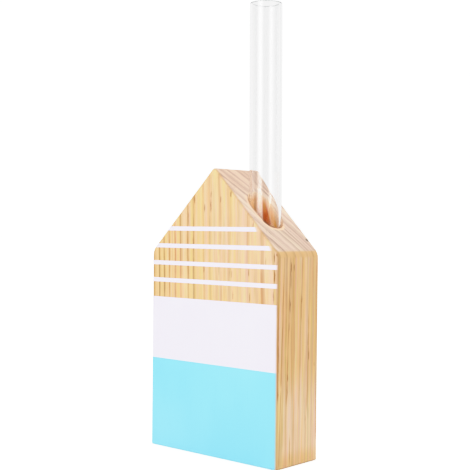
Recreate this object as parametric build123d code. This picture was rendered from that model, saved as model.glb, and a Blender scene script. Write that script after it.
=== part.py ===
from build123d import *
import math
import os

# Bud vase: a house-shaped solid pine block, drilled down through the
# right-hand roof slope, and a round-bottomed glass test tube that stands in
# the bore.  The front face carries a screen-printed coat of four thin lines
# and two wide bands.
#
# Millimetres.  +Z is up, -Y is the printed front, +X is the side with the
# bore.  The origin is the centre of the base.

# ---------------------------------------------------------------- block
block_width = 80.0          # X
block_depth = 30.0          # Y
block_height = 135.0        # to the top of the rounded ridge
eave_height = 96.0          # where the side wall and the roof slope would meet
eave_radius = 6.0           # sanded-over eave, in the gable outline
ridge_radius = 2.0          # eased ridge, in the gable outline
ridge_x = 0.8               # the ridge is a little right of the middle
arris_radius = 1.2          # eased front and back edges
base_arris = 0.4            # broken edge round the base

# ---------------------------------------------------------------- bore
bore_diameter = 15.9        # a 5/8 inch bit; flat-bottomed, vertical
bore_x = 20.3               # half-way down the right-hand slope
bore_y = -0.55              # drilled a touch nearer the front
bore_floor_z = 61.6
bore_mouth_arris = 0.5

# ---------------------------------------------------------------- tube
tube_diameter = 15.0        # standard 15 x 150 test tube
tube_length = 150.0
tube_wall = 1.0
tube_rim_radius = 0.45      # fire-polished lip
tube_floor_gap = 0.05       # the round bottom just clears the bore's floor
tube_lean_deg = 0.45        # the loose tube leans towards the ridge
tube_lean_ref_z = 90.0      # height at which the tube's axis is at tube_lean_x
tube_lean_x = 20.5
tube_y = -0.55

# ---------------------------------------------------------------- print
coat = 0.08                 # thickness of the printed coat
coat_wrap = 1.0             # how far the coat may follow the eased edges back
coat_left_margin = 0.4      # bare wood left beside the upright edges
coat_right_margin = 0.95
coat_slope_margin = 0.3     # bare wood left beside the roof edges
band_aqua = (0.5, 43.1)     # lower and upper edge of each printed field
band_white = (43.1, 73.2)
line_height = 2.05
line_first_z = 80.5
line_pitch = 8.36
line_count = 4
# The two upper lines stop short of the right-hand roof edge, in nearly square
# ends: where each one ends at its middle height, from the bottom line up.
line_ends = (None, None, 35.0, 26.7)
line_end_slant = 1.1        # how much shorter a line is at its upper edge

# ---------------------------------------------------------------- derived
half_w = block_width / 2
half_d = block_depth / 2

def slopes(top):
    """Left and right roof slopes for a sharp apex at this height."""
    rise = top - eave_height
    return math.atan2(rise, half_w + ridge_x), math.atan2(rise, half_w - ridge_x)


# The sharp apex sits a little above the rounded ridge, whose arc touches both
# roof planes.
apex = block_height
for _ in range(30):
    left, right = slopes(apex)
    half_angle = (math.pi - left - right) / 2
    lean = (left - right) / 2       # of the line that halves the apex
    drop = ridge_radius / math.sin(half_angle) * math.cos(lean)
    apex = block_height - ridge_radius + drop
slope_left, slope_right = slopes(apex)


def roof_z(x):
    """Height of the roof plane at x, before its edges are rounded."""
    if x < ridge_x:
        return apex - (ridge_x - x) * math.tan(slope_left)
    return apex - (x - ridge_x) * math.tan(slope_right)


# ---------------------------------------------------------------- block
def gable_outline():
    pts = [
        (-half_w, 0),
        (half_w, 0),
        (half_w, eave_height),
        (ridge_x, apex),
        (-half_w, eave_height),
    ]
    sk = Plane.XZ * make_face(Polyline(*pts, close=True))
    eaves = [v for v in sk.vertices() if abs(v.Z - eave_height) < 0.01]
    sk = fillet(eaves, eave_radius)
    ridge = [v for v in sk.vertices() if abs(v.Z - apex) < 0.01]
    return fillet(ridge, ridge_radius)


def near(value, target, tol=0.01):
    return abs(value - target) < tol


def make_block():
    blank = extrude(gable_outline(), amount=half_d, both=True)
    # front and back outline edges, except the two that lie on the base
    outline = [
        e
        for e in blank.edges()
        if near(abs(e.center().Y), half_d)
        and near(e.bounding_box().size.Y, 0)
        and e.center().Z > 0.01
    ]
    blank = fillet(outline, arris_radius)
    base = [e for e in blank.edges() if near(e.bounding_box().max.Z, 0)]
    blank = fillet(base, base_arris)

    drill = Pos(bore_x, bore_y, bore_floor_z) * Cylinder(
        bore_diameter / 2, apex, align=(Align.CENTER, Align.CENTER, Align.MIN)
    )
    drilled = blank - drill
    mouth = [
        e
        for e in drilled.edges()
        if e.center().Z > eave_height
        and e.bounding_box().size.Y > bore_diameter * 0.9
        and e.bounding_box().size.X < bore_diameter * 1.1
        and e.bounding_box().min.X > 0
        and e.bounding_box().size.Y < bore_diameter * 1.1
    ]
    return blank, fillet(mouth, bore_mouth_arris)


# ---------------------------------------------------------------- tube
def make_tube():
    r_out = tube_diameter / 2
    r_in = r_out - tube_wall
    top = tube_length
    rr = tube_rim_radius
    q = math.sqrt(0.5)
    # half section in X-Z, bottom of the round end at z = 0
    profile = [
        Line((0, 0), (0, tube_wall)),
        ThreePointArc(
            (0, tube_wall), (r_in * q, r_out - r_in * q), (r_in, r_out)
        ),
        Line((r_in, r_out), (r_in, top - rr)),
        ThreePointArc(
            (r_in, top - rr),
            (r_in + rr - rr * q, top - rr + rr * q),
            (r_in + rr, top),
        ),
        Line((r_in + rr, top), (r_out - rr, top)),
        ThreePointArc(
            (r_out - rr, top),
            (r_out - rr + rr * q, top - rr + rr * q),
            (r_out, top - rr),
        ),
        Line((r_out, top - rr), (r_out, r_out)),
        ThreePointArc((r_out, r_out), (r_out * q, r_out - r_out * q), (0, 0)),
    ]
    section = Plane.XZ * make_face(profile)
    tube = revolve(section, Axis.Z)
    lean = math.radians(tube_lean_deg)
    foot_z = bore_floor_z + tube_floor_gap
    foot_x = tube_lean_x + (tube_lean_ref_z - foot_z) * math.tan(lean)
    return Pos(foot_x, tube_y, foot_z) * Rot(0, -tube_lean_deg, 0) * tube


# ---------------------------------------------------------------- print
def printed_field():
    """Gable-shaped area of the front face that takes print."""
    xl, xr = coat_left_margin - half_w, half_w - coat_right_margin
    s = coat_slope_margin
    # the roof edges are moved in by the slope margin, square to the slope
    pts = [
        (xl, 0),
        (xr, 0),
        (xr, roof_z(xr) - s / math.cos(slope_right)),
        (ridge_x, apex - s / math.cos(slope_right)),
        (xl, roof_z(xl) - s / math.cos(slope_left)),
    ]
    sk = Plane.XZ * make_face(Polyline(*pts, close=True))
    return extrude(sk, amount=half_d + 1)      # towards the front


def make_coat(blank):
    """Skin of paint over the whole front face: the block moved forwards by
    the coat's thickness, less the block itself."""
    skin = Pos(0, -coat, 0) * blank - blank
    front = printed_field() & (
        Pos(0, -half_d, 0)
        * Box(block_width, 2 * coat_wrap, 3 * block_height, align=Align.CENTER)
    )
    return skin & front


def field(skin, lo, hi):
    slab = Pos(0, 0, lo) * Box(
        block_width * 2,
        block_depth * 2,
        hi - lo,
        align=(Align.CENTER, Align.CENTER, Align.MIN),
    )
    return skin & slab


def line_field(skin, i):
    """One thin line, cut off at its right-hand end where it has one."""
    z = line_first_z + i * line_pitch
    line = field(skin, z, z + line_height)
    end = line_ends[i]
    if end is None:
        return line
    h = line_end_slant / 2
    keep = [
        (-half_w - 1, z - 1),
        (end + h * (1 + 2 / line_height), z - 1),
        (end - h * (1 + 2 / line_height), z + line_height + 1),
        (-half_w - 1, z + line_height + 1),
    ]
    sk = Plane.XZ * make_face(Polyline(*keep, close=True))
    return line & extrude(sk, amount=half_d + 1)


def solids_of(shape):
    found = [s for s in shape.solids() if s.volume > 0.01]
    return found[0] if len(found) == 1 else Compound(children=found)


def main():
    os.makedirs("parts", exist_ok=True)
    blank, block = make_block()
    skin = make_coat(blank)
    lines = []
    for i in range(line_count):
        lines += line_field(skin, i).solids()
    nodes = {
        "house_block": block,
        "test_tube": make_tube(),
        "print_aqua_band": field(skin, *band_aqua),
        "print_white_band": field(skin, *band_white),
        "print_white_lines": Compound(children=lines),
    }
    for name, shape in nodes.items():
        export_step(solids_of(shape), os.path.join("parts", name + ".step"))
    print(
        "sharp apex %.3f  slopes %.2f and %.2f deg"
        % (apex, math.degrees(slope_left), math.degrees(slope_right))
    )
    print("slope height over the bore's axis %.2f" % roof_z(bore_x))


main()
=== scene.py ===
import math
import bmesh
import bpy
from mathutils import Matrix, Vector


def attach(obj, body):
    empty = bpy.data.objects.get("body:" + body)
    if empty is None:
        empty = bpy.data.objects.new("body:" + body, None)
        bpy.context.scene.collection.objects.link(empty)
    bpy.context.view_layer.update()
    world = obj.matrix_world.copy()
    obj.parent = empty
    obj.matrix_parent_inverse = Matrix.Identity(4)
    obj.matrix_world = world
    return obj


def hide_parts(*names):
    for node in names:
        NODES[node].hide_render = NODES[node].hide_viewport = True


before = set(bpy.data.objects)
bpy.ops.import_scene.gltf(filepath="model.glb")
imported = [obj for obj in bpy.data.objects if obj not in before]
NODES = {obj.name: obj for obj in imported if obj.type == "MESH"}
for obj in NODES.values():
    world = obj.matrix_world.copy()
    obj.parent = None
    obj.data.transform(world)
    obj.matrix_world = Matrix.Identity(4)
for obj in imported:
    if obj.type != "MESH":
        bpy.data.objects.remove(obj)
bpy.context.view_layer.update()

MM = 0.001

# ------------------------------------------------------------------ sizes (mm)
HALF_W, HALF_D = 40.0, 15.0
EAVE_Z, APEX_Z, RIDGE_X = 96.0, 135.822, 0.8
BORE_X, BORE_Y, BORE_R, BORE_FLOOR = 20.3, -0.55, 7.95, 61.6
TUBE_R, TUBE_WALL, TUBE_LEN = 7.5, 1.0, 150.0
LEAN = math.radians(0.45)
FOOT_Z = BORE_FLOOR + 0.05
FOOT_X, FOOT_Y = 20.5 + (90.0 - FOOT_Z) * math.tan(LEAN), -0.55


# ------------------------------------------------------------------ camera
def make_camera():
    """The photograph's view: a long lens, a little below the roof's ridge."""
    yaw, pitch, roll = (math.radians(a) for a in (41.7594, 0.4857, 0.5602))
    place = Vector((316.333, -353.155, 107.773)) * MM
    fwd = Vector((-math.sin(yaw) * math.cos(pitch), math.cos(yaw) * math.cos(pitch), -math.sin(pitch)))
    right = Vector((math.cos(yaw), math.sin(yaw), 0.0))
    up = right.cross(fwd)
    r2 = right * math.cos(roll) + up * math.sin(roll)
    u2 = up * math.cos(roll) - right * math.sin(roll)
    data = bpy.data.cameras.new("camera")
    data.sensor_fit = "HORIZONTAL"
    data.sensor_width = 36.0
    data.lens = 990.0 / 470.0 * 36.0
    data.clip_start, data.clip_end = 0.01, 50.0
    cam = bpy.data.objects.new("camera", data)
    bpy.context.scene.collection.objects.link(cam)
    m = Matrix((r2, u2, -fwd)).transposed().to_4x4()
    m.translation = place
    cam.matrix_world = m
    bpy.context.scene.camera = cam
    return cam


# ------------------------------------------------------------------ node helpers
class Tree:
    """Short names for building a shader tree."""

    def __init__(self, tree):
        self.t = tree

    def node(self, kind, **props):
        n = self.t.nodes.new(kind)
        for k, v in props.items():
            setattr(n, k, v)
        return n

    def put(self, socket, value):
        if isinstance(value, bpy.types.NodeSocket):
            self.t.links.new(value, socket)
        elif value is not None:
            socket.default_value = value

    def m(self, op, a, b=None, c=None, clamp=False):
        n = self.node("ShaderNodeMath", operation=op, use_clamp=clamp)
        for s, v in zip(n.inputs, (a, b, c)):
            self.put(s, v)
        return n.outputs[0]

    def v(self, op, a, b=None, scale=None):
        n = self.node("ShaderNodeVectorMath", operation=op)
        self.put(n.inputs[0], a)
        if b is not None:
            self.put(n.inputs[1], b)
        if scale is not None:
            self.put(n.inputs["Scale"], scale)
        return n.outputs["Value"] if op in ("LENGTH", "DISTANCE", "DOT_PRODUCT") else n.outputs["Vector"]

    def xyz(self, v):
        n = self.node("ShaderNodeSeparateXYZ")
        self.put(n.inputs[0], v)
        return n.outputs

    def join(self, x, y, z):
        n = self.node("ShaderNodeCombineXYZ")
        for s, v in zip(n.inputs, (x, y, z)):
            self.put(s, v)
        return n.outputs[0]

    def mix(self, fac, a, b, blend="MIX"):
        n = self.node("ShaderNodeMix", data_type="RGBA", blend_type=blend, clamp_factor=True)
        self.put(n.inputs[0], fac)
        self.put(n.inputs[6], a)
        self.put(n.inputs[7], b)
        return n.outputs[2]

    def mixf(self, fac, a, b):
        n = self.node("ShaderNodeMix", data_type="FLOAT", clamp_factor=True)
        self.put(n.inputs[0], fac)
        self.put(n.inputs[2], a)
        self.put(n.inputs[3], b)
        return n.outputs[0]

    def span(self, v, lo, hi, a=0.0, b=1.0, smooth=True):
        n = self.node("ShaderNodeMapRange", interpolation_type="SMOOTHSTEP" if smooth else "LINEAR", clamp=True)
        for s, x in zip(n.inputs[:5], (v, lo, hi, a, b)):
            self.put(s, x)
        return n.outputs[0]

    def noise(self, vec, scale=1.0, detail=2.0, rough=0.5, colour=False):
        n = self.node("ShaderNodeTexNoise", noise_dimensions="3D")
        self.put(n.inputs["Vector"], vec)
        self.put(n.inputs["Scale"], scale)
        self.put(n.inputs["Detail"], detail)
        self.put(n.inputs["Roughness"], rough)
        return n.outputs["Color" if colour else "Fac"]

    def ramp(self, fac, stops, interp="LINEAR"):
        n = self.node("ShaderNodeValToRGB")
        n.color_ramp.interpolation = interp
        e = n.color_ramp.elements
        while len(e) < len(stops):
            e.new(0.5)
        for el, (p, c) in zip(e, stops):
            el.position = p
            el.color = (*c, 1.0) if isinstance(c, tuple) else (c, c, c, 1.0)
        self.put(n.inputs[0], fac)
        return n.outputs["Color"]

    def mm(self):
        """Where on the object, in millimetres of the row frame."""
        t = self.node("ShaderNodeTexCoord")
        return self.v("SCALE", t.outputs["Object"], scale=1000.0)


def material(name):
    m = bpy.data.materials.new(name)
    m.use_nodes = True
    m.node_tree.nodes.clear()
    t = Tree(m.node_tree)
    out = t.node("ShaderNodeOutputMaterial")
    p = t.node("ShaderNodeBsdfPrincipled")
    t.put(out.inputs["Surface"], p.outputs[0])
    return m, t, p


def srgb(r, g, b):
    def one(c):
        c /= 255.0
        return c / 12.92 if c <= 0.04045 else ((c + 0.055) / 1.055) ** 2.4
    return (one(r), one(g), one(b))


# ------------------------------------------------------------------ pine
# The trunk's centre runs upright, in front of the block and to its right, so
# its rings cross the front, the side and the roof as one solid pattern.
PITH_X, PITH_Y = 95.0, -100.0
# Where each year's dark late wood is, and how dark it is. The place is counted
# along the front: the distance (mm) from (80, -110) to where the ring comes out.
RINGS = [(97.0, 0.5), (100.5, 0.30), (104.0, 0.42), (107.1, 0.68), (111.2, 0.48), (114.2, 0.26), (117.7, 0.30),
         (121.0, 0.48), (125.3, 0.46), (127.7, 0.38), (132.3, 0.74), (134.8, 0.80), (138.4, 0.72), (141.0, 0.88),
         (144.1, 0.78), (146.6, 0.80), (149.15, 1.0), (152.1, 0.80), (155.0, 0.55), (158.0, 0.75), (161.0, 0.50),
         (164.5, 0.80), (168.0, 0.60), (171.5, 0.85), (175.0, 0.6)]

# Short dark resin streaks: x, y, z, half length, half width, strength (mm)
STREAKS = [
    (-0.8, -15, 122.6, 2.0, 0.26, 0.55), (-0.9, -15, 117.4, 3.4, 0.28, 0.70), (-4.9, -15, 116.2, 2.2, 0.26, 0.50),
    (5.3, -15, 120.3, 1.6, 0.34, 0.40), (11.7, -15, 122.7, 1.4, 0.38, 0.75), (-11.5, -15, 120.5, 2.4, 0.32, 0.70),
    (-15.6, -15, 111.5, 3.0, 0.26, 0.40), (25.3, -15, 108.6, 1.2, 0.28, 0.45), (-12.2, -15, 100.5, 3.2, 0.22, 0.50),
    (4.6, -15, 88.0, 3.4, 0.24, 0.35), (11.6, -15, 86.5, 3.0, 0.22, 0.35), (12.6, -15, 86.0, 2.0, 0.20, 0.45),
    (22.9, -15, 87.0, 2.0, 0.24, 0.50), (23.6, -15, 75.8, 2.6, 0.24, 0.60), (13.4, -15, 76.0, 2.2, 0.22, 0.40),
    (38.1, -15, 86.0, 3.2, 0.36, 1.00), (37.9, -15, 94.2, 2.4, 0.28, 0.65), (37.6, -15, 76.6, 3.4, 0.30, 0.40),
    (-5.0, -15, 87.6, 1.8, 0.26, 0.65), (39.3, -14.9, 95.6, 0.7, 0.50, 0.95), (39.7, -14.0, 94.9, 0.4, 0.30, 0.60),
    (40, -5.5, 89.8, 2.6, 0.36, 0.95), (40, -5.6, 84.2, 4.0, 0.28, 0.70), (40, -3.5, 89.6, 1.7, 0.36, 0.75),
    (40, -6.1, 72.5, 3.4, 0.34, 0.85), (40, -6.7, 63.2, 2.6, 0.32, 0.70), (40, -14.1, 52.0, 15.5, 0.34, 0.85),
    (40, -14.2, 33.5, 2.6, 0.38, 0.95), (40, -7.5, 40.4, 2.0, 0.42, 0.85), (40, -7.7, 35.0, 3.0, 0.38, 0.90),
    (40, 2.4, 74.8, 1.8, 0.36, 0.60), (40, 7.3, 56.5, 3.4, 0.32, 0.75), (40, 7.9, 49.0, 2.6, 0.34, 0.75),
    (40, 5.8, 20.5, 1.6, 0.24, 0.40), (40, 7.8, 22.5, 2.8, 0.24, 0.35), (40, -5.5, 4.8, 2.8, 0.28, 0.45),
    (40, 12.0, 44.8, 1.5, 0.26, 0.40), (34.3, 13.2, 101.8, 1.1, 1.00, 1.0),
    (40, -14.3, 66.0, 5.0, 0.28, 0.55), (40, -5.8, 87.5, 3.2, 0.26, 0.60), (40, 7.5, 52.0, 5.0, 0.24, 0.45),
    (29.6, -11.2, 106.6, 0.3, 0.32, 0.42), (30.2, -11.4, 106.0, 0.3, 0.30, 0.36), (31.0, -10.2, 105.2, 0.3, 0.34, 0.40),
    (31.5, -9.9, 104.6, 0.3, 0.30, 0.34), (21.9, -12.7, 114.4, 0.3, 0.34, 0.30), (24.3, -12.6, 112.0, 0.4, 0.36, 0.34),
    (26.4, -12.2, 109.8, 0.3, 0.30, 0.30), (29.9, -4.5, 106.3, 0.3, 0.30, 0.34), (30.0, -1.7, 106.1, 0.3, 0.30, 0.30),
    (30.3, 5.6, 105.9, 0.3, 0.34, 0.30), (28.1, -11.4, 108.1, 0.3, 0.28, 0.30),
]

# Long thin lines up the flank: y at 60 mm up, from z, to z, half width,
# strength, and how far back they lean for each mm up (mm)
LINES = [
    (-14.3, 28.0, 76.0, 0.34, 1.00, 0.0), (-11.4, 34.0, 99.0, 0.50, 0.80, 0.031), (-11.4, -2.0, 38.0, 0.42, 0.55, 0.031),
    (-7.1, 26.0, 97.0, 0.40, 0.90, 0.031), (1.7, 62.0, 99.0, 0.45, 0.85, 0.031), (1.5, 24.0, 68.0, 0.35, 0.45, 0.020),
    (7.4, 22.0, 70.0, 0.38, 0.75, 0.015), (13.4, 8.0, 94.0, 0.45, 0.60, 0.0), (-5.6, -2.0, 16.0, 0.35, 0.70, 0.0),
    (-3.8, 66.0, 98.0, 0.30, 0.60, 0.0), (5.2, 14.0, 34.0, 0.34, 0.35, 0.0), (-4.9, 30.0, 66.0, 0.30, 0.50, 0.0),
]


def make_pine():
    m, t, p = material("pine")
    pos = t.mm()
    x, y, z = t.xyz(pos)
    up = t.m("SUBTRACT", z, 90.0)

    # the rings wander a little up the trunk
    slow = t.noise(t.v("MULTIPLY", pos, (0.022, 0.022, 0.012)), 1.0, 1.0, 0.5, colour=True)
    sx, sy, _ = t.xyz(t.v("SUBTRACT", slow, (0.5, 0.5, 0.5)))
    fine = t.noise(t.v("MULTIPLY", pos, (0.30, 0.30, 0.050)), 1.0, 2.0, 0.5)
    dx = t.m("ADD", t.m("SUBTRACT", x, PITH_X), t.m("MULTIPLY", sx, 1.6))
    dy = t.m("SUBTRACT", y, t.m("ADD", t.m("MULTIPLY", up, t.span(y, -9.0, -14.5, 0.006, 0.033)), PITH_Y))
    dy = t.m("ADD", dy, t.m("MULTIPLY", sy, 1.6))
    r = t.m("ADD", t.m("MULTIPLY", dx, dx), t.m("MULTIPLY", dy, dy))
    out = t.m("SUBTRACT", PITH_X, t.m("SQRT", t.m("MAXIMUM", t.m("SUBTRACT", r, (15.0 + PITH_Y) ** 2), 0.0)))
    out = t.m("SUBTRACT", out, 80.0)
    r = t.m("SQRT", t.m("ADD", t.m("MULTIPLY", out, out), 95.0 ** 2))
    r = t.m("ADD", r, t.m("MULTIPLY", t.m("SUBTRACT", fine, 0.5), 0.9))

    # radius to growth year: a whole number at each year's late wood
    lo, hi = RINGS[0][0], RINGS[-1][0]
    n = len(RINGS) - 1
    c = t.node("ShaderNodeFloatCurve")
    cur = c.mapping.curves[0]
    cur.points[0].location, cur.points[1].location = (0.0, 0.0), (1.0, 1.0)
    for i, (v, _) in enumerate(RINGS[1:-1], 1):
        cur.points.new((v - lo) / (hi - lo), i / n)
    for q in cur.points:
        q.handle_type = "VECTOR"
    c.mapping.update()
    t.put(c.inputs["Factor"], 1.0)
    t.put(c.inputs["Value"], t.m("DIVIDE", t.m("SUBTRACT", r, lo), hi - lo))
    year = t.m("MULTIPLY", c.outputs[0], float(n))
    nearest = t.m("ROUND", year)
    off = t.m("SUBTRACT", year, nearest)        # -0.5 to 0.5, inner side first
    rows = [((i + 0.5) / (n + 1), s) for i, (_, s) in enumerate(RINGS)]
    force = t.ramp(t.m("DIVIDE", t.m("ADD", nearest, 0.5), n + 1.0), [(p_ - 0.5 / (n + 1), s) for p_, s in rows], "CONSTANT")
    force = t.xyz(force)[0]

    # late wood darkens towards the end of each year, then stops sharply
    line = t.ramp(t.m("ADD", off, 0.5), [(0.0, 0.0), (0.22, 0.05), (0.34, 0.30), (0.43, 0.85), (0.50, 1.0), (0.55, 0.85), (0.60, 0.15), (0.66, 0.0), (1.0, 0.0)])
    line = t.xyz(line)[0]
    along = t.noise(t.v("MULTIPLY", pos, (0.16, 0.16, 0.055)), 1.0, 3.0, 0.6)
    late = t.m("MULTIPLY", t.m("MULTIPLY", line, force), t.span(along, 0.30, 0.62, 0.45, 1.10))

    late = t.m("MULTIPLY", late, t.m("ADD", t.m("MULTIPLY", t.span(x, 39.0, 39.9), t.span(z, 24.0, 56.0, -0.25, 0.25)), t.span(x, -4.0, -16.0, 1.0, 1.25)), clamp=True)

    # finer growth lines that keep to the rings, and fibres along the trunk
    rr = t.join(t.m("MULTIPLY", r, 1.0), t.m("MULTIPLY", z, 0.018), 3.0)
    sub = t.noise(rr, 1.15, 3.0, 0.62)
    tone = t.noise(t.join(t.m("MULTIPLY", r, 0.45), t.m("MULTIPLY", z, 0.008), 7.0), 1.0, 1.0, 0.5)
    fib = t.noise(t.v("MULTIPLY", pos, (3.0, 3.0, 0.060)), 1.0, 3.0, 0.6)
    broad = t.noise(t.v("MULTIPLY", pos, (0.06, 0.06, 0.02)), 1.0, 2.0, 0.5)

    nrm = t.node("ShaderNodeNewGeometry").outputs["Normal"]
    nx, ny, nz = t.xyz(nrm)
    flank = t.m("MULTIPLY", t.span(t.m("ABSOLUTE", nx), 0.55, 0.80), t.span(nz, 0.55, 0.40))

    # yellow to the left, creamier to the right of the printed face
    base = t.mix(t.span(x, -22.0, 34.0), (0.800, 0.560, 0.262, 1), (0.796, 0.590, 0.350, 1))
    base = t.mix(t.m("MULTIPLY", t.span(tone, 0.40, 0.62), 0.55), base, (0.810, 0.600, 0.390, 1))
    base = t.mix(t.m("MULTIPLY", t.span(broad, 0.35, 0.65), 0.35), base, (0.775, 0.530, 0.245, 1))
    # the flank is warmer at the top and at the foot than in between
    warm = t.m("MAXIMUM", t.span(z, 22.0, 48.0), t.span(z, 9.0, 2.5))
    side = t.mix(warm, (0.850, 0.610, 0.375, 1), (0.810, 0.525, 0.240, 1))
    hue = t.noise(t.join(t.m("MULTIPLY", r, 0.62), t.m("MULTIPLY", z, 0.006), 21.0), 1.0, 2.0, 0.55)
    side = t.mix(t.span(hue, 0.54, 0.64, 0.0, 0.75), side, t.mix(warm, (0.860, 0.630, 0.430, 1), (0.845, 0.590, 0.345, 1)))
    side = t.mix(t.span(hue, 0.46, 0.36, 0.0, 0.85), side, t.mix(warm, (0.740, 0.510, 0.270, 1), (0.690, 0.440, 0.165, 1)))
    side = t.mix(t.span(y, -13.0, -14.2, 0.0, 0.55), side, (0.680, 0.420, 0.160, 1))
    base = t.mix(flank, base, side)
    base = t.mix(t.span(sub, 0.46, 0.70, 0.0, 0.62), base, (0.640, 0.430, 0.200, 1))
    base = t.mix(t.span(fib, 0.45, 0.80, 0.0, 0.22), base, (0.600, 0.380, 0.170, 1))
    dark = t.mix(t.span(tone, 0.35, 0.60), (0.420, 0.240, 0.065, 1), (0.540, 0.250, 0.070, 1))
    dark = t.mix(flank, dark, t.mix(t.span(tone, 0.35, 0.60), (0.470, 0.270, 0.060, 1), (0.600, 0.270, 0.075, 1)))
    wood = t.mix(t.m("MULTIPLY", late, 0.90), base, dark)
    # each growth line has a cast of its own: pink, olive, straw or orange
    cast = t.noise(t.join(t.m("MULTIPLY", r, 0.95), t.m("MULTIPLY", z, 0.022), 11.0), 1.0, 3.0, 0.65, colour=True)
    cast = t.v("MULTIPLY", t.v("SUBTRACT", cast, (0.5, 0.5, 0.5)), t.mix(flank, (0.30, 0.40, 1.00, 1), (0.36, 0.50, 1.25, 1)))
    cast = t.v("ADD", cast, (1.0, 1.0, 1.0))
    wood = t.v("MULTIPLY", wood, cast)
    wood = t.v("MULTIPLY", wood, t.mix(flank, (0.973, 0.950, 0.975, 1), t.mix(t.span(z, 46.0, 28.0), (0.960, 0.975, 0.985, 1), (0.965, 0.995, 1.035, 1))))

    # resin streaks, first the ones that can be seen, then thinly everywhere
    jig = t.noise(t.v("MULTIPLY", pos, (0.8, 0.8, 0.35)), 1.0, 2.0, 0.6, colour=True)
    jpos = t.v("ADD", pos, t.v("MULTIPLY", t.v("SUBTRACT", jig, (0.5, 0.5, 0.5)), (0.8, 0.8, 1.2)))
    total = None
    for (fx, fy, fz, half, wide, much) in STREAKS:
        if fy == -15:
            wide, much = wide * 1.2, min(0.80 if fx < 30 else 1.0, much * 1.3)
        d = t.v("MULTIPLY", t.v("SUBTRACT", jpos, (fx, fy, fz)), (1 / wide, 1 / wide, 1 / half))
        a = t.m("MULTIPLY", t.span(t.v("LENGTH", d), 1.25, 0.45), much)
        total = a if total is None else t.m("MAXIMUM", total, a)
    cell = t.node("ShaderNodeTexVoronoi", voronoi_dimensions="3D", feature="F1")
    t.put(cell.inputs["Vector"], t.v("MULTIPLY", jpos, (0.36, 0.36, 0.045)))
    t.put(cell.inputs["Scale"], 1.0)
    keep = t.m("GREATER_THAN", t.xyz(cell.outputs["Color"])[0], 0.80)
    specks = t.m("MULTIPLY", t.m("MULTIPLY", t.span(cell.outputs["Distance"], 0.13, 0.05), keep), 0.38)
    total = t.m("MAXIMUM", total, specks)
    wood = t.mix(total, wood, (0.340, 0.130, 0.020, 1))
    # long orange-brown lines that run straight up the flank
    sway = t.m("MULTIPLY", t.m("SUBTRACT", t.noise(t.join(5.0, 0.0, t.m("MULTIPLY", z, 0.05)), 1.0, 2.0, 0.5), 0.5), 1.2)
    drawn = None
    for (at, lo_z, hi_z, wide, much, lean) in LINES:
        place = t.m("ADD", t.m("MULTIPLY", t.m("SUBTRACT", z, 60.0), lean), at)
        d = t.m("DIVIDE", t.m("ABSOLUTE", t.m("SUBTRACT", t.m("ADD", y, sway), place)), wide)
        a = t.m("MULTIPLY", t.span(d, 1.3, 0.2), t.m("MULTIPLY", t.span(z, lo_z, lo_z + 6.0), t.span(z, hi_z, hi_z - 6.0)))
        a = t.m("MULTIPLY", a, t.span(along, 0.25, 0.60, 0.45 * much, much))
        drawn = a if drawn is None else t.m("MAXIMUM", drawn, a)
    drawn = t.m("MULTIPLY", drawn, flank)
    wood = t.mix(drawn, wood, (0.500, 0.215, 0.038, 1))

    # the roof is cut across the fibres: paler and pinker, partly the end grain's own colour and partly a painted sheen
    # from the light above
    roof = t.span(nz, 0.52, 0.66)
    pores = t.noise(t.v("MULTIPLY", pos, (2.2, 2.2, 2.2)), 1.0, 3.0, 0.65)
    pale = t.mix(t.span(tone, 0.38, 0.62), (0.880, 0.690, 0.535, 1), (0.900, 0.680, 0.550, 1))
    pale = t.mix(t.m("MULTIPLY", t.span(z, 121.0, 129.0), 0.6), pale, (0.800, 0.560, 0.410, 1))
    pale = t.mix(t.span(sub, 0.44, 0.68, 0.0, 0.90), pale, (0.570, 0.375, 0.265, 1))
    pale = t.mix(t.m("MULTIPLY", late, t.span(z, 111.0, 121.0, 0.68, 0.95)), pale, (0.420, 0.240, 0.165, 1))
    pale = t.mix(t.span(pores, 0.50, 0.80, 0.0, 0.40), pale, (0.560, 0.400, 0.280, 1))
    pale = t.mix(total, pale, (0.230, 0.150, 0.100, 1))
    pale = t.v("MULTIPLY", pale, t.mix(t.span(z, 104.0, 116.0), (0.920, 0.932, 0.942, 1), (1.00, 1.005, 1.015, 1)))
    wood = t.mix(roof, wood, pale)
    # just under the eave the rounded edge runs golden
    gold = t.m("MULTIPLY", t.m("MULTIPLY", t.span(nz, 0.04, 0.20), t.span(nz, 0.60, 0.50)), t.span(t.m("ABSOLUTE", nx), 0.5, 0.8))
    wood = t.mix(t.m("MULTIPLY", gold, 0.75), wood, t.mix(t.m("MULTIPLY", late, 0.8), (0.760, 0.490, 0.215, 1), (0.420, 0.215, 0.060, 1)))

    # the rounded edges are a little darker: painted shade where they turn away from the light
    side_on = t.m("ABSOLUTE", ny)
    edge_shade = t.m("MULTIPLY", t.span(side_on, 0.10, 0.35), t.span(side_on, 0.97, 0.80))
    wood = t.mix(t.m("MULTIPLY", edge_shade, 0.30), wood, (0.460, 0.270, 0.110, 1))
    # painted shade: the bottom edges, turned down to the floor, are darker
    foot_shade = t.m("MULTIPLY", t.span(z, 0.65, 0.15), t.span(ny, -0.75, -0.50))
    wood = t.mix(t.m("MULTIPLY", foot_shade, 0.75), wood, (0.300, 0.190, 0.100, 1))
    # the aqua ran a little under the front's lower edge
    ran = t.m("MULTIPLY", t.span(z, 0.60, 0.52), t.m("MULTIPLY", t.span(ny, -0.15, -0.35), t.span(y, -14.4, -14.6)))
    wood = t.mix(t.m("MULTIPLY", ran, t.m("MULTIPLY", t.span(x, 39.0, 38.6), 0.9)), wood, (0.300, 0.740, 0.900, 1))

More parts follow.
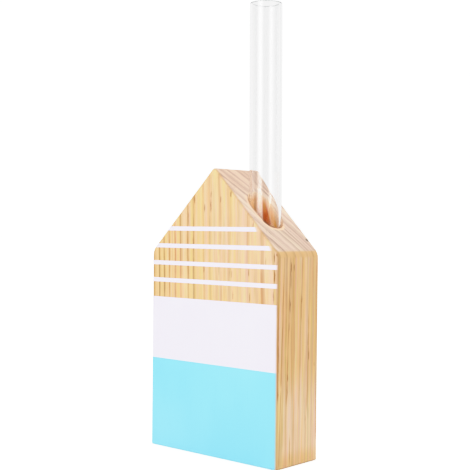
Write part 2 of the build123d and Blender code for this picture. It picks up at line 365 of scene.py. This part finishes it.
    # the bare strip right of the print is browner, and the ink fades out over it
    strip = t.m("MULTIPLY", t.span(x, 38.9, 39.2), t.span(y, -13.9, -14.3))
    wood = t.mix(t.m("MULTIPLY", strip, t.span(z, 20.0, 50.0, 0.10, 0.34)), wood, (0.430, 0.210, 0.070, 1))
    inked = t.m("MULTIPLY", t.span(x, 39.75, 39.10), t.m("MULTIPLY", strip, 0.85))
    in_aqua = t.m("MULTIPLY", t.m("GREATER_THAN", z, 0.5), t.m("LESS_THAN", z, 43.1))
    in_white = t.m("MULTIPLY", t.m("GREATER_THAN", z, 43.1), t.m("LESS_THAN", z, 73.2))
    for low in (80.5, 88.86):
        in_white = t.m("MAXIMUM", in_white, t.m("MULTIPLY", t.m("GREATER_THAN", z, low), t.m("LESS_THAN", z, low + 2.05)))
    wood = t.mix(t.m("MULTIPLY", inked, in_aqua), wood, (0.300, 0.680, 0.820, 1))
    wood = t.mix(t.m("MULTIPLY", inked, in_white), wood, (0.780, 0.720, 0.760, 1))
    # and past the ends of the two upper lines
    for low, end in ((97.22, 35.0), (105.58, 26.7)):
        cut = t.m("ADD", end, t.m("MULTIPLY", t.m("SUBTRACT", low + 1.025, z), 1.1 / 2.05))
        thin = t.m("MULTIPLY", t.span(t.m("SUBTRACT", x, cut), -0.3, 1.7, 0.62, 0.0), t.span(y, -14.2, -14.6))
        thin = t.m("MULTIPLY", thin, t.m("MULTIPLY", t.m("GREATER_THAN", z, low), t.m("LESS_THAN", z, low + 2.05)))
        wood = t.mix(thin, wood, (0.780, 0.730, 0.800, 1))

    # the drilled wall runs orange in streaks down the drill's way; its deep orange is partly painted light bounced
    # round the bore, the dark red band is a painted shadow of the near lip, and the pale bands are painted reflections
    # from the glass
    bx = t.m("SUBTRACT", x, BORE_X)
    by = t.m("SUBTRACT", y, BORE_Y)
    rb = t.m("SQRT", t.m("ADD", t.m("MULTIPLY", bx, bx), t.m("MULTIPLY", by, by)))
    drill_streaks = t.noise(t.v("MULTIPLY", pos, (0.75, 0.75, 0.030)), 1.0, 2.0, 0.6)
    tan_roof = (APEX_Z - EAVE_Z) / (HALF_W - RIDGE_X)
    deep = t.m("SUBTRACT", t.m("SUBTRACT", APEX_Z, t.m("MULTIPLY", t.m("SUBTRACT", x, RIDGE_X), tan_roof)), z)
    across = t.m("DIVIDE", t.m("ADD", t.m("MULTIPLY", bx, 0.746), t.m("MULTIPLY", by, 0.666)), BORE_R)
    rim = across
    across = t.m("ADD", across, t.m("MULTIPLY", t.m("SUBTRACT", drill_streaks, 0.5), 0.10))
    # painted shadow: the dark band's edge slants with depth, as the near lip's shadow does
    across = t.m("SUBTRACT", across, t.m("MULTIPLY", t.m("MULTIPLY", t.m("SUBTRACT", deep, 7.5), 0.045), t.span(across, -0.05, 0.10)))
    bore_light_and_shade = t.ramp(t.m("MULTIPLY", t.m("ADD", across, 1.0), 0.5),
                  [(0.0, (0.960, 0.600, 0.300)), (0.09, (0.950, 0.500, 0.160)), (0.15, (0.640, 0.250, 0.040)),
                   (0.22, (0.940, 0.560, 0.330)), (0.25, (0.995, 0.700, 0.530)), (0.415, (0.995, 0.690, 0.510)),
                   (0.445, (0.850, 0.200, 0.022)), (0.500, (0.800, 0.140, 0.008)), (0.648, (0.800, 0.140, 0.008)), (0.672, (0.990, 0.580, 0.290)),
                   (0.72, (0.995, 0.560, 0.220)), (0.80, (0.990, 0.480, 0.080)), (0.91, (0.990, 0.480, 0.080)),
                   (0.95, (0.990, 0.700, 0.420)), (1.0, (0.990, 0.640, 0.360))])
    bore_light_and_shade = t.mix(t.span(drill_streaks, 0.52, 0.66, 0.0, 0.50), bore_light_and_shade, (0.900, 0.330, 0.040, 1))
    olive = t.m("MULTIPLY", t.span(deep, 8.0, 4.5), t.m("MULTIPLY", t.span(across, -0.20, -0.13), t.span(across, 0.22, 0.10)))
    bore_light_and_shade = t.mix(t.m("MULTIPLY", olive, 0.75), bore_light_and_shade, (0.800, 0.400, 0.110, 1))
    # painted light: the wall is paler near the mouth, where more light comes in
    pale_mouth = t.span(across, 0.10, 0.25, 3.2, 6.5)
    bore_light_and_shade = t.mix(t.m("MULTIPLY", t.span(t.m("DIVIDE", deep, pale_mouth), 0.1, 1.0, 1.0, 0.0, smooth=False), 0.85), bore_light_and_shade, (0.930, 0.700, 0.500, 1))
    inside = t.m("MULTIPLY", t.span(rb, BORE_R + 0.25, BORE_R + 0.04), t.m("LESS_THAN", z, 128.0))
    wood = t.mix(inside, wood, bore_light_and_shade)
    # the mouth's near edge: a painted shadow line just inside it, then a painted highlight on the rounded rim
    ahead = t.m("SUBTRACT", t.m("MULTIPLY", by, 0.746), t.m("MULTIPLY", bx, 0.666))
    near = t.m("MULTIPLY", t.span(ahead, 1.0, -3.0), t.m("GREATER_THAN", z, 100.0))
    middle = t.m("MULTIPLY", t.span(rim, -0.30, -0.10), t.span(rim, 0.65, 0.20))
    reach = t.m("ADD", t.span(ahead, 1.0, -5.0, 0.30, 1.05, smooth=False), t.m("MULTIPLY", middle, 0.95))
    reach = t.m("SUBTRACT", reach, t.span(rim, 0.60, 0.90, 0.0, 0.45))
    past = t.m("SUBTRACT", rb, t.m("ADD", reach, BORE_R))
    lip_shadow = t.m("MULTIPLY", t.span(rb, BORE_R - 0.02, BORE_R + 0.06), t.span(past, 0.15, -0.10))
    lip_shadow_colour = t.ramp(t.m("MULTIPLY", t.m("ADD", rim, 1.0), 0.5),
                  [(0.0, (0.560, 0.300, 0.150)), (0.25, (0.620, 0.380, 0.260)), (0.40, (0.600, 0.350, 0.230)),
                   (0.435, (0.230, 0.052, 0.003)), (0.585, (0.230, 0.052, 0.003)), (0.64, (0.480, 0.230, 0.100)),
                   (0.76, (0.430, 0.150, 0.055)), (0.86, (0.480, 0.200, 0.075)), (0.93, (0.900, 0.520, 0.270)), (1.0, (0.850, 0.520, 0.300))])
    wood = t.mix(t.m("MULTIPLY", t.m("MULTIPLY", lip_shadow, near), 0.95), wood, lip_shadow_colour)
    # painted highlight: a pale peach rim on the near lip
    lip = t.m("MULTIPLY", t.span(past, -0.05, 0.20), t.span(past, 1.25, 0.75))
    lip = t.m("MULTIPLY", t.m("MULTIPLY", lip, near), roof)
    wood = t.mix(t.m("MULTIPLY", lip, 0.85), wood, (0.980, 0.675, 0.460, 1))

    t.put(p.inputs["Base Color"], wood)
    rough = t.mixf(late, t.span(fib, 0.3, 0.7, 0.66, 0.56), 0.48)
    t.put(p.inputs["Roughness"], t.mixf(t.m("MULTIPLY", lip_shadow, near), rough, 0.95))
    p.inputs["Specular IOR Level"].default_value = 0.35
    b1 = t.node("ShaderNodeBump")
    b1.inputs["Strength"].default_value = 0.35
    b1.inputs["Distance"].default_value = 0.00006
    t.put(b1.inputs["Height"], t.m("ADD", t.m("MULTIPLY", fib, 0.8), t.m("MULTIPLY", late, 0.6)))
    t.put(p.inputs["Normal"], b1.outputs[0])
    return m


# ------------------------------------------------------------------ print
def make_print(name, colour, deep, low=(1, 1, 1), high=(1, 1, 1)):
    m, t, p = material(name)
    pos = t.mm()
    cloud = t.noise(t.v("MULTIPLY", pos, (0.05, 0.05, 0.03)), 1.0, 2.0, 0.5)
    grain = t.noise(t.v("MULTIPLY", pos, (1.6, 1.6, 0.05)), 1.0, 3.0, 0.6)
    mottle = t.noise(t.v("MULTIPLY", pos, (2.5, 2.5, 2.5)), 1.0, 2.0, 0.6)
    c = t.mix(t.m("MULTIPLY", t.span(cloud, 0.35, 0.65), 0.45), (*colour, 1), (*deep, 1))
    c = t.mix(t.m("MULTIPLY", t.span(grain, 0.5, 0.8), 0.5), c, (*deep, 1))
    x, _, z = t.xyz(pos)
    drift = t.mix(t.span(z, 6.0, 38.0), (*low, 1), (*high, 1))
    c = t.v("MULTIPLY", c, t.mix(t.span(x, 14.0, -26.0), (1, 1, 1, 1), drift))
    t.put(p.inputs["Base Color"], c)
    t.put(p.inputs["Roughness"], t.span(mottle, 0.3, 0.7, 0.52, 0.62))
    p.inputs["Specular IOR Level"].default_value = 0.35
    b = t.node("ShaderNodeBump")
    b.inputs["Strength"].default_value = 0.25
    b.inputs["Distance"].default_value = 0.00003
    t.put(b.inputs["Height"], t.m("ADD", grain, t.m("MULTIPLY", mottle, 0.4)))
    t.put(p.inputs["Normal"], b.outputs[0])
    return m


# ------------------------------------------------------------------ glass
def make_glass():
    """Clear glass, tinted grey at the melted-round lip: painted shade that
    draws the rim as a dark line. Lamp light and scattered light pass
    straight through it, so the drilled wood behind it is lit."""
    m, t, p = material("glass")
    x, y, z = t.xyz(t.mm())
    # painted shade: the lip is tinted grey so the rim shows as a dark line
    top = t.span(z, FOOT_Z + TUBE_LEN - 0.75, FOOT_Z + TUBE_LEN - 0.50)
    t.put(p.inputs["Base Color"], t.mix(top, (1.0, 1.0, 1.0, 1), (0.76, 0.77, 0.77, 1)))
    p.inputs["Transmission Weight"].default_value = 1.0
    p.inputs["Roughness"].default_value = 0.0
    p.inputs["IOR"].default_value = 1.47
    path = t.node("ShaderNodeLightPath")
    clear = t.node("ShaderNodeBsdfTransparent")
    clear.inputs["Color"].default_value = (1.0, 1.0, 1.0, 1)
    mixer = t.node("ShaderNodeMixShader")
    t.put(mixer.inputs[0], t.m("MAXIMUM", path.outputs["Is Shadow Ray"], path.outputs["Is Diffuse Ray"]))
    t.put(mixer.inputs[1], p.outputs[0])
    t.put(mixer.inputs[2], clear.outputs[0])
    out = [n for n in m.node_tree.nodes if n.type == "OUTPUT_MATERIAL"][0]
    t.put(out.inputs["Surface"], mixer.outputs[0])
    return m


def make_tube():
    """Drawn tube with a round end and a fire-polished lip, as one closed
    surface of revolution about its own leaning axis."""
    ro, ri, top = TUBE_R, TUBE_R - TUBE_WALL, TUBE_LEN
    lip = 0.45
    prof = []
    n = 28
    for i in range(n + 1):          # outside of the round end
        a = math.radians(90.0 * i / n)
        prof.append((ro * math.sin(a), ro - ro * math.cos(a)))
    for i in range(1, 30):
        prof.append((ro, ro + (top - lip - ro) * i / 30))
    for i in range(9):              # lip
        a = math.radians(90.0 * i / 8)
        prof.append((ro - lip + lip * math.cos(a), top - lip + lip * math.sin(a)))
    for i in range(9):
        a = math.radians(90.0 + 90.0 * i / 8)
        prof.append((ri + lip + lip * math.cos(a), top - lip + lip * math.sin(a)))
    for i in range(1, 30):
        prof.append((ri, top - lip - (top - lip - ro) * i / 30))
    for i in range(n + 1):          # inside of the round end
        a = math.radians(90.0 - 90.0 * i / n)
        prof.append((ri * math.sin(a), ro - ri * math.cos(a)))
    seg = 128
    bm = bmesh.new()
    rings = []
    for (r, h) in prof:
        if r < 1e-6:
            rings.append([bm.verts.new((0, 0, h * MM))])
        else:
            rings.append([bm.verts.new((r * math.cos(2 * math.pi * k / seg) * MM, r * math.sin(2 * math.pi * k / seg) * MM, h * MM))
                          for k in range(seg)])
    for a, b in zip(rings, rings[1:]):
        for k in range(seg):
            l = (k + 1) % seg
            if len(a) == 1:
                bm.faces.new((a[0], b[l], b[k]))
            elif len(b) == 1:
                bm.faces.new((a[k], a[l], b[0]))
            else:
                bm.faces.new((a[k], a[l], b[l], b[k]))
    bmesh.ops.recalc_face_normals(bm, faces=bm.faces)
    me = bpy.data.meshes.new("glass_tube")
    bm.to_mesh(me)
    bm.free()
    for f in me.polygons:
        f.use_smooth = True
    m = Matrix.Translation((FOOT_X * MM, FOOT_Y * MM, FOOT_Z * MM)) @ Matrix.Rotation(-LEAN, 4, "Y")
    me.transform(m)
    o = bpy.data.objects.new("glass_tube", me)
    bpy.context.scene.collection.objects.link(o)
    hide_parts("test_tube")
    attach(o, "tube")
    return o


# ------------------------------------------------------------------ stage
def make_stage():
    """White sweep behind the object, one tall softbox straight in front of
    the printed face with a smaller key lamp above it, and dimmer room in
    front to either side of it."""
    me = bpy.data.meshes.new("floor")
    s = 6.0
    me.from_pydata([(-s, -s, -0.0001), (s, -s, -0.0001), (s, s, -0.0001), (-s, s, -0.0001)], [], [(0, 1, 2, 3)])
    o = bpy.data.objects.new("floor", me)
    bpy.context.scene.collection.objects.link(o)
    m, t, p = material("floor")
    p.inputs["Base Color"].default_value = (0.92, 0.92, 0.92, 1)
    p.inputs["Roughness"].default_value = 1.0
    p.inputs["Specular IOR Level"].default_value = 0.0
    p.inputs["Emission Color"].default_value = (1, 1, 1, 1)
    seen = t.node("ShaderNodeLightPath").outputs["Is Camera Ray"]
    t.put(p.inputs["Emission Strength"], t.m("ADD", t.m("MULTIPLY", seen, 0.45), 0.20))
    me.materials.append(m)

    w = bpy.data.worlds.new("studio")
    bpy.context.scene.world = w
    w.use_nodes = True
    t = Tree(w.node_tree)
    w.node_tree.nodes.clear()
    out = t.node("ShaderNodeOutputWorld")
    seen = t.node("ShaderNodeBackground")
    seen.inputs["Color"].default_value = (1, 1, 1, 1)
    seen.inputs["Strength"].default_value = 1.38
    lit = t.node("ShaderNodeBackground")
    d = t.node("ShaderNodeTexCoord").outputs["Generated"]
    dirn = t.v("NORMALIZE", d)
    gx, gy, gz = t.xyz(dirn)
    back = t.span(gy, -0.45, 0.25)
    level = t.mixf(back, 0.36, 0.99)
    # the room mirrored in the glass is dark between the softbox and the sweep
    mirrored = t.mixf(t.span(gy, -0.20, 0.12), 0.02, 1.06)
    mirrored = t.m("SUBTRACT", mirrored, t.m("MULTIPLY", t.m("MULTIPLY", t.span(gx, 0.42, 0.60), t.span(gx, 0.97, 0.90)), t.span(gy, 0.0, 0.12, 0.0, 0.90)))
    mirrored = t.m("MAXIMUM", mirrored, t.span(t.m("ABSOLUTE", gx), 0.88, 0.97, 0.0, 0.97))
    # and the softbox fades out to either side of itself
    glow = t.m("MULTIPLY", t.span(gx, -0.55, -0.03), t.span(gx, 0.45, -0.03))
    glow = t.m("MULTIPLY", glow, t.span(gy, -0.40, -0.60))
    mirrored = t.m("ADD", mirrored, t.m("MULTIPLY", glow, 3.9))
    # a narrow dark card behind to the right draws the tube's right edge
    card = t.m("MULTIPLY", t.m("MULTIPLY", t.span(gx, -0.22, -0.08), t.span(gx, 0.34, 0.20)), t.span(gy, 0.85, 0.90))
    mirrored = t.m("SUBTRACT", mirrored, t.m("MULTIPLY", card, 0.13))
    level = t.mixf(t.node("ShaderNodeLightPath").outputs["Is Glossy Ray"], level, mirrored)
    level = t.m("ADD", level, t.span(gz, 0.25, 0.95, 0.0, 0.35))
    lit.inputs["Color"].default_value = (1, 1, 1, 1)
    t.put(lit.inputs["Strength"], level)
    mixer = t.node("ShaderNodeMixShader")
    t.put(mixer.inputs[0], t.node("ShaderNodeLightPath").outputs["Is Camera Ray"])
    t.put(mixer.inputs[1], lit.outputs[0])
    t.put(mixer.inputs[2], seen.outputs[0])
    t.put(out.inputs["Surface"], mixer.outputs[0])

    def area(name, at, to, size, radiance):
        l = bpy.data.lights.new(name, "AREA")
        l.shape = "RECTANGLE"
        l.size, l.size_y = size
        # an area lamp's watts spread over its face and the half space before it
        l.energy = radiance * size[0] * size[1] * math.pi
        o = bpy.data.objects.new(name, l)
        bpy.context.scene.collection.objects.link(o)
        o.location = at
        o.rotation_euler = (Vector(to) - Vector(at)).to_track_quat("-Z", "Y").to_euler()
        return o

    area("softbox", (-0.09, -1.25, 0.40), (0, 0, 0.12), (0.84, 0.66), 0.8)
    area("key", (0.08, -1.05, 0.76), (0, 0, 0.11), (0.55, 0.30), 10.5)


# ------------------------------------------------------------------ build
make_camera()
make_stage()
pine = make_pine()
aqua = make_print("aqua_print", (0.290, 0.720, 0.955), (0.262, 0.688, 0.930), (1.06, 1.015, 1.02), (0.93, 0.98, 1.0))
white = make_print("white_print", (0.788, 0.748, 0.890), (0.766, 0.726, 0.867))
glass = make_glass()


def paint(node, mat):
    o = NODES[node]
    o.data.materials.clear()
    o.data.materials.append(mat)
    for f in o.data.polygons:
        f.material_index = 0


paint("house_block", pine)
paint("print_aqua_band", aqua)
paint("print_white_band", white)
paint("print_white_lines", white)
tube = make_tube()
tube.data.materials.append(glass)

scene = bpy.context.scene
scene.view_settings.view_transform = "Standard"
scene.view_settings.look = "None"
scene.view_settings.exposure = 0.0
scene.view_settings.gamma = 1.0


def soften_whites(view, top=1.36):
    """A studio picture's gentle shoulder: levels up to about 0.7 are kept and
    brighter ones are drawn together under pure white."""
    view.use_curve_mapping = True
    cm = view.curve_mapping
    cm.white_level = (top, top, top)
    curve = cm.curves[3]
    curve.points[0].location, curve.points[1].location = (0.0, 0.0), (1.0, 1.0)
    for level, shown in ((0.35, 0.35), (0.70, 0.70), (0.80, 0.790), (0.93, 0.879), (1.0, 0.906), (1.2, 0.958)):
        curve.points.new(level / top, shown)
    for q in curve.points:
        q.handle_type = "VECTOR"
    cm.update()


soften_whites(scene.view_settings)
